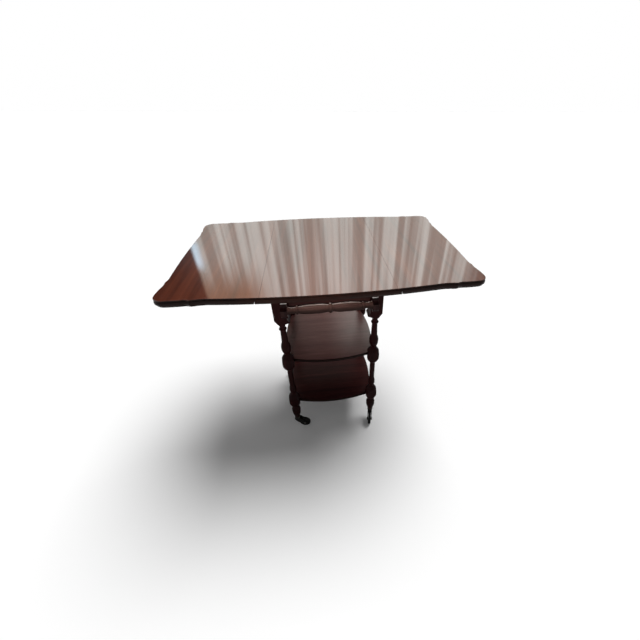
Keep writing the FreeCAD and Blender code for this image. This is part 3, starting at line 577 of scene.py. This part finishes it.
# Painted shade on the lower shelf's edges.
LOWER_SHELF = WoodFinish(
    "lower_shelf_board", grain=Grain.ALONG_X, roughness=0.36, dust=0.01, wear=0.3,
    dark=tint(0.022, 0.003, 0.004), middle=tint(0.046, 0.008, 0.008), light=tint(0.075, 0.015, 0.014),
    coat=0.02, coat_roughness=0.20, specular=0.05, gloss_tint=tint(1.0, 0.55, 0.50), side_shade=0.10)
LEG_WOOD = WoodFinish(
    "leg_wood", grain=Grain.ALONG_Z, roughness=0.36, dust=0.01, wear=0.30, pores=0.3,
    dark=tint(0.005, 0.001, 0.001), middle=tint(0.011, 0.002, 0.002), light=tint(0.026, 0.006, 0.006),
    worn=tint(0.10, 0.045, 0.03), coat=0.03, coat_roughness=0.10, specular=0.02)
# Painted shade on the lower half of the rail, and a painted highlight along its top, tilted towards the
# back.
HANDLE_WOOD = WoodFinish(
    "handle_wood", grain=Grain.ALONG_X, roughness=0.34, dust=0.0, wear=0.45, pores=0.3,
    dark=tint(0.022, 0.010, 0.008), middle=tint(0.068, 0.034, 0.028), light=tint(0.125, 0.072, 0.060),
    worn=tint(0.30, 0.20, 0.16), rubbed=tint(0.95, 0.78, 0.70), highlight_side=(0.0, 0.34, 0.94),
    coat=0.05, coat_roughness=0.10, specular=0.03, side_shade=0.22, shade_range=(0.05, 0.88))
# Painted highlight: near-white tops on the blocks' caps.
BLOCK_WOOD = WoodFinish(
    "block_wood", grain=Grain.ALONG_Z, roughness=0.34, dust=0.0, wear=0.45, pores=0.3,
    dark=tint(0.004, 0.001, 0.001), middle=tint(0.009, 0.003, 0.003), light=tint(0.020, 0.008, 0.007),
    worn=tint(0.30, 0.20, 0.16), rubbed=tint(0.98, 0.93, 0.90), highlight_from=0.597,
    coat=0.05, coat_roughness=0.10, specular=0.03)
RAIL_WOOD = WoodFinish(
    "rail_wood", grain=Grain.ALONG_X, roughness=0.36, dust=0.02, wear=0.30, pores=0.3,
    dark=tint(0.010, 0.003, 0.003), middle=tint(0.022, 0.007, 0.006), light=tint(0.042, 0.015, 0.011),
    worn=tint(0.11, 0.06, 0.04), coat=0.04, coat_roughness=0.12, specular=0.02)
SIDE_WOOD = WoodFinish(
    "side_wood", grain=Grain.ALONG_Y, roughness=0.42, dust=0.01, wear=0.25, pores=0.3,
    dark=tint(0.009, 0.003, 0.003), middle=tint(0.020, 0.006, 0.005), light=tint(0.038, 0.013, 0.010),
    worn=tint(0.10, 0.05, 0.03), coat=0.02, coat_roughness=0.15, specular=0.02)
HINGE_STEEL = MetalFinish("hinge_steel", roughness=0.42, dust=0.03)
SCREW_STEEL = MetalFinish("screw_steel", roughness=0.32, clean=tint(0.58, 0.56, 0.52), wear=0.3, dust=0.0)
SOCKET_METAL = MetalFinish(
    "socket_metal", roughness=0.45, clean=tint(0.020, 0.016, 0.013), aged=tint(0.009, 0.008, 0.007),
    worn=tint(0.22, 0.16, 0.09), metallic=0.0, specular=0.15, wear=0.3, dust=0.01)
AXLE_STEEL = MetalFinish(
    "axle_steel", roughness=0.45, clean=tint(0.035, 0.033, 0.031), aged=tint(0.012, 0.011, 0.010),
    worn=tint(0.20, 0.19, 0.18), metallic=0.0, specular=0.3, wear=0.3, dust=0.0)
FORK_BLACK = MetalFinish(
    "fork_black", roughness=0.38, clean=tint(0.006, 0.006, 0.006), aged=tint(0.012, 0.010, 0.009),
    worn=tint(0.12, 0.11, 0.10), metallic=0.0, specular=0.08, wear=0.25, dust=0.01, relief=0.00015)
WHEEL_BLACK = MetalFinish(
    "wheel_black", roughness=0.55, clean=tint(0.005, 0.005, 0.005), aged=tint(0.011, 0.010, 0.010),
    worn=tint(0.035, 0.033, 0.031), metallic=0.0, specular=0.05, wear=0.3, dust=0.02,
    patches=Cloud(90.0, 4.0, 0.65), relief=0.0003)


class Workshop:
    """Makes each finish once and puts it on pieces."""

    def __init__(self) -> None:
        """Build the shared effects; the materials follow when they are first used."""
        self.effects = Effects.build()
        self.materials: dict[str, bpy.types.Material] = {}

    def material(self, finish: WoodFinish | MetalFinish) -> bpy.types.Material:
        """Material of a finish.

        Args:
            finish: The finish.

        Returns:
            Its material, made the first time that it is asked for.
        """
        if finish.name not in self.materials:
            self.materials[finish.name] = finish.build(self.effects)
        return self.materials[finish.name]

    def dress(self, names: Iterable[str], finish: WoodFinish | MetalFinish) -> None:
        """Put a finish on every material slot of some carried-over nodes.

        Args:
            names: The nodes.
            finish: The finish.
        """
        material = self.material(finish)
        for name in names:
            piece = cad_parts[name]
            if not piece.material_slots:
                piece.data.materials.append(material)
            for slot in piece.material_slots:
                slot.material = material
            LOG.info("%s dressed in %s", name, finish.name)


# ---------------------------------------------------------------- sub-assemblies

@dataclass
class TableTop:
    """Centre panel and two leaves, with their hinges."""

    board_finish: WoodFinish = TOP_BOARDS
    plate_finish: MetalFinish = HINGE_STEEL
    screw_finish: MetalFinish = SCREW_STEEL

    def build(self, shop: Workshop) -> None:
        """Dress the boards and the hinges under them.

        Args:
            shop: The workshop.
        """
        hinges = [f"{side}_{end}_hinge" for side in SIDES for end in ENDS]
        halves = ("frame", "leaf")
        shop.dress(["centre_panel", *(f"{side}_leaf" for side in SIDES)], self.board_finish)
        shop.dress([f"{hinge}_{half}_plate" for hinge in hinges for half in halves], self.plate_finish)
        shop.dress([f"{hinge}_pin" for hinge in hinges], self.screw_finish)
        shop.dress([f"{side}_hinge_{half}_screws" for side in SIDES for half in halves], self.screw_finish)


@dataclass
class Underframe:
    """Legs, aprons and corner blocks."""

    leg_finish: WoodFinish = LEG_WOOD
    apron_finish: WoodFinish = RAIL_WOOD
    side_finish: WoodFinish = SIDE_WOOD
    screw_finish: MetalFinish = SCREW_STEEL

    def build(self, shop: Workshop) -> None:
        """Dress the legs, the aprons and what fixes them.

        Args:
            shop: The workshop.
        """
        shop.dress([f"{leg}_leg" for leg in LEGS], self.leg_finish)
        shop.dress(["front_apron", "back_apron", "corner_blocks"], self.apron_finish)
        shop.dress([f"{side}_side_apron" for side in SIDES], self.side_finish)
        shop.dress(["top_fixing_screws"], self.screw_finish)


@dataclass
class Shelving:
    """Middle and lower shelf."""

    middle_finish: WoodFinish = SHELF_BOARDS
    lower_finish: WoodFinish = LOWER_SHELF

    def build(self, shop: Workshop) -> None:
        """Dress both shelves.

        Args:
            shop: The workshop.
        """
        shop.dress(["middle_shelf"], self.middle_finish)
        shop.dress(["lower_shelf"], self.lower_finish)


@dataclass
class PushHandle:
    """Turned rail, the blocks that carry it and their dowels."""

    rail_finish: WoodFinish = HANDLE_WOOD
    block_finish: WoodFinish = BLOCK_WOOD

    def build(self, shop: Workshop) -> None:
        """Dress the rail, the blocks and the dowels.

        Args:
            shop: The workshop.
        """
        shop.dress(["handle_rail"], self.rail_finish)
        shop.dress([*(f"{side}_handle_block" for side in SIDES), "handle_dowels"], self.block_finish)


@dataclass
class LeafSupports:
    """Swinging brackets, the blocks that they turn on and their pins."""

    wood_finish: WoodFinish = SIDE_WOOD
    pin_finish: MetalFinish = SCREW_STEEL

    def build(self, shop: Workshop) -> None:
        """Dress the brackets, blocks, pins and screws.

        Args:
            shop: The workshop.
        """
        for side in SIDES:
            shop.dress([f"{side}_leaf_support", f"{side}_support_knuckle"], self.wood_finish)
            shop.dress([f"{side}_support_pin", f"{side}_support_screws"], self.pin_finish)


@dataclass
class Casters:
    """Sockets, forks, axles and wheels."""

    socket_finish: MetalFinish = SOCKET_METAL
    fork_finish: MetalFinish = FORK_BLACK
    axle_finish: MetalFinish = AXLE_STEEL
    wheel_finish: MetalFinish = WHEEL_BLACK

    def build(self, shop: Workshop) -> None:
        """Dress the casters.

        Args:
            shop: The workshop.
        """
        finishes = {"socket": self.socket_finish, "fork": self.fork_finish, "axle": self.axle_finish,
                    "wheel": self.wheel_finish}
        for leg in LEGS:
            for part, finish in finishes.items():
                shop.dress([f"{leg}_caster_{part}"], finish)


# ---------------------------------------------------------------- studio

def place_object(name: str, data: Any) -> bpy.types.Object:
    """Put an object into the scene.

    Args:
        name: Its name.
        data: Its mesh, light or camera.

    Returns:
        The object.
    """
    placed = bpy.data.objects.new(name, data)
    bpy.context.collection.objects.link(placed)
    return placed


def place_sheet(name: str, corners: Sequence[Triple], material: bpy.types.Material) -> bpy.types.Object:
    """Put a flat sheet with four corners into the scene.

    Args:
        name: Its name.
        corners: Its corners in order.
        material: Its material.

    Returns:
        The object.
    """
    mesh = bpy.data.meshes.new(name)
    mesh.from_pydata(corners, [], [(0, 1, 2, 3)])
    mesh.materials.append(material)
    return place_object(name, mesh)


@dataclass
class Floor:
    """Plain pale floor that keeps the shadow of the trolley."""

    size: float = 60.0
    colour: Colour = tint(0.97, 0.97, 0.97)
    glow: float = 0.03
    roughness: float = 0.9
    specular: float = 0.1

    def build(self) -> None:
        """Lay the floor."""
        half = self.size / 2
        corners = [(-half, -half, 0.0), (half, -half, 0.0), (half, half, 0.0), (-half, half, 0.0)]
        floor = place_sheet("floor", corners, self.material())

    def material(self) -> bpy.types.Material:
        """Make the floor's material.

        Returns:
            A matt material that glows a little where it is seen.
        """
        material = bpy.data.materials.new("pale_floor")
        material.use_nodes = True
        bench = Bench(material.node_tree)
        glow = bench.product(bench.seen_directly(), self.glow)
        bench.feed(material.node_tree.nodes["Principled BSDF"], {
            "Base Color": self.colour, "Roughness": self.roughness, "Specular IOR Level": self.specular,
            "Emission Color": WHITE, "Emission Strength": glow})
        return material


@dataclass
class Surround:
    """Soft light from all round, with a white background where it is seen."""

    light: float = 0.18
    background: float = 1.0

    def build(self) -> None:
        """Light the world."""
        world = bpy.context.scene.world or bpy.data.worlds.new("studio")
        bpy.context.scene.world = world
        world.use_nodes = True
        world.node_tree.nodes.clear()
        bench = Bench(world.node_tree)
        soft = bench.add("Background", {"Color": WHITE, "Strength": self.light}).outputs[0]
        white = bench.add("Background", {"Color": WHITE, "Strength": self.background}).outputs[0]
        choice = bench.add("MixShader", {0: bench.seen_directly(), 1: soft, 2: white}).outputs[0]
        bench.add("OutputWorld", {"Surface": choice})


@dataclass
class FoldedCloth:
    """Lit cloth that hangs in soft folds behind the trolley, for the polish to show.

    Only mirror rays meet it. Its lining shows high on the left, beside a bright gap.
    """

    distance: float = 2.5
    reach: float = 6.0
    bottom: float = 1.1
    top: float = 2.9
    stretch: Triple = (1.0, 0.0, 0.02)
    wide: Cloud = Cloud(4.5, 1.0)
    narrow: Cloud = Cloud(14.0, 2.0)
    wide_share: float = 0.4
    fold_range: Span = (0.38, 0.62)
    shaded: Colour = tint(0.42, 0.40, 0.36)
    lit: Colour = tint(0.96, 1.0, 0.95)
    lining: Colour = tint(0.34, 0.24, 0.17)
    lining_height: Span = (1.75, 2.35)
    lining_width: Span = (-0.45, -0.95)
    gap: Colour = tint(1.15, 1.5, 1.75)
    gap_width: Span = (-1.27, -1.35)
    gap_top: Span = (2.02, 1.84)
    gap_bottom: Span = (1.56, 1.68)
    strength: float = 4.0
    rise: Span = (1.3, 2.5)
    rise_share: Span = (0.42, 1.0)
    left: float = -1.388
    left_edge: Span = (-0.02, 0.03)
    left_share: float = 0.012
    right: float = 2.9
    right_fade: float = 1.6
    right_share: float = 0.25
    last_fold: float = 2.0
    last_fold_edge: float = 0.04
    last_fold_share: float = 0.60

    def build(self) -> None:
        """Hang the cloth."""
        corners = [(-self.reach, self.distance, self.bottom), (self.reach, self.distance, self.bottom),
                   (self.reach, self.distance, self.top), (-self.reach, self.distance, self.top)]
        cloth = place_sheet("diffuser", corners, self.material())
        cloth.visible_camera = False
        cloth.visible_diffuse = False
        cloth.visible_shadow = False

    def material(self) -> bpy.types.Material:
        """Make the cloth's material.

        Returns:
            A material that only glows.
        """
        material = bpy.data.materials.new("lit_cloth")
        material.use_nodes = True
        material.node_tree.nodes.clear()
        bench = Bench(material.node_tree)
        place = bench.add("TexCoord").outputs["Object"]
        split = bench.add("SeparateXYZ", {0: place}).outputs
        colour = self.colour(bench, place, split["X"], split["Z"])
        strength = self.brightness(bench, split["X"], split["Z"])
        glow = bench.add("Emission", {"Color": colour, "Strength": strength})
        bench.add("OutputMaterial", {"Surface": glow.outputs[0]})
        return material

    def colour(self, bench: Bench, place: bpy.types.NodeSocket, across: bpy.types.NodeSocket,
               height: bpy.types.NodeSocket) -> bpy.types.NodeSocket:
        """Colour of the folds, the lining and the gap.

        Args:
            bench: Bench of the material.
            place: Object coordinates.
            across: Place along X in metres.
            height: Place along Z in metres.

        Returns:
            The colour socket.
        """
        drawn = bench.vector("MULTIPLY", place, self.stretch)
        folds = bench.blend(bench.noise(drawn, self.wide), bench.noise(drawn, self.narrow), self.wide_share)
        colour = bench.mix(bench.spread(folds, *self.fold_range), self.shaded, self.lit)
        lining = bench.product(bench.spread(height, *self.lining_height),
                               bench.spread(across, *self.lining_width))
        gap = bench.product(bench.spread(across, *self.gap_width), bench.spread(height, *self.gap_top),
                            bench.spread(height, *self.gap_bottom))
        return bench.mix(gap, bench.mix(lining, colour, self.lining), self.gap)

    def brightness(self, bench: Bench, across: bpy.types.NodeSocket,
                   height: bpy.types.NodeSocket) -> bpy.types.NodeSocket:
        """Strength of the glow, which rises with height and falls off at both sides.

        Args:
            bench: Bench of the material.
            across: Place along X in metres.
            height: Place along Z in metres.

        Returns:
            The strength socket.
        """
        rise = bench.spread(height, *self.rise, *self.rise_share)
        left_from, left_to = (self.left + step for step in self.left_edge)
        left = bench.spread(across, left_from, left_to, self.left_share, 1.0)
        right = bench.spread(across, self.right - self.right_fade, self.right, 1.0, self.right_share)
        fold_from, fold_to = self.last_fold - self.last_fold_edge, self.last_fold + self.last_fold_edge
        fold = bench.spread(across, fold_from, fold_to, 1.0, self.last_fold_share)
        return bench.product(self.strength, rise, left, right, fold)


@dataclass
class Lamps:
    """Broad, very soft light from over and behind the trolley, and a small fill for its handle."""

    sun_strength: float = 2.90
    sun_spread: float = 38.0
    sun_from: Triple = (0.34, 0.27, 1.0)
    sun_distance: float = 3.0
    fill_strength: float = 160.0
    fill_cone: float = 14.0
    fill_blend: float = 1.0
    fill_size: float = 0.15
    fill_place: Triple = (-0.20, -1.50, 1.26)
    fill_aim: Triple = (0.0, -0.17, 0.59)

    def build(self) -> None:
        """Hang both lamps."""
        sun = bpy.data.lights.new("overhead", "SUN")
        sun.energy = self.sun_strength
        sun.angle = math.radians(self.sun_spread)
        self.hang(sun, Vector(self.sun_from) * self.sun_distance, Vector(self.sun_from))
        fill = bpy.data.lights.new("handle_fill", "SPOT")
        fill.energy = self.fill_strength
        fill.spot_size = math.radians(self.fill_cone)
        fill.spot_blend = self.fill_blend
        fill.shadow_soft_size = self.fill_size
        self.hang(fill, Vector(self.fill_place), Vector(self.fill_place) - Vector(self.fill_aim))

    def hang(self, lamp: bpy.types.Light, place: Vector, back: Vector) -> None:
        """Hang one lamp, unseen in mirrors.

        Args:
            lamp: The lamp.
            place: Where it hangs.
            back: Direction that its back points in.
        """
        hung = place_object(lamp.name, lamp)
        hung.location = place
        hung.rotation_euler = back.to_track_quat("Z", "Y").to_euler()
        hung.visible_glossy = False


@dataclass
class Viewpoint:
    """Camera, set by its place, its turns in degrees and its focal length in pixels."""

    place: Triple = (-0.0315, -0.9182, 1.0875)
    yaw: float = 8.128
    pitch: float = 36.414
    roll: float = 0.443
    focal_pixels: float = 304.09
    optical_centre: float = 354.22
    image_width: float = 640.0
    sensor: float = 36.0

    def build(self) -> None:
        """Set up the camera, with colours shown as they are."""
        yaw, pitch, roll = (math.radians(turn) for turn in (self.yaw, self.pitch, self.roll))
        ahead = Vector((math.sin(yaw) * math.cos(pitch), math.cos(yaw) * math.cos(pitch), -math.sin(pitch)))
        level = Vector((math.cos(yaw), -math.sin(yaw), 0.0))
        upright = level.cross(ahead)
        right = level * math.cos(roll) + upright * math.sin(roll)
        up = upright * math.cos(roll) - level * math.sin(roll)
        lens = bpy.data.cameras.new("camera")
        lens.sensor_fit = "HORIZONTAL"
        lens.sensor_width = self.sensor
        lens.lens = self.sensor * self.focal_pixels / self.image_width
        lens.shift_x = (self.image_width / 2 - self.optical_centre) / self.image_width
        camera = place_object("camera", lens)
        turn = Matrix((right, up, -ahead)).transposed().to_4x4()
        camera.matrix_world = Matrix.Translation(Vector(self.place)) @ turn
        bpy.context.scene.camera = camera
        bpy.context.scene.view_settings.view_transform = "Standard"


def main() -> None:
    """Build the studio and dress each sub-assembly in turn."""
    logging.basicConfig(level=logging.INFO, format="%(name)s: %(message)s")
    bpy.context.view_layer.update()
    for part in (Floor(), Surround(), FoldedCloth(), Lamps(), Viewpoint()):
        part.build()
    shop = Workshop()
    for assembly in (TableTop(), Underframe(), Shelving(), PushHandle(), LeafSupports(), Casters()):
        assembly.build(shop)


if __name__ == "__main__":
    main()
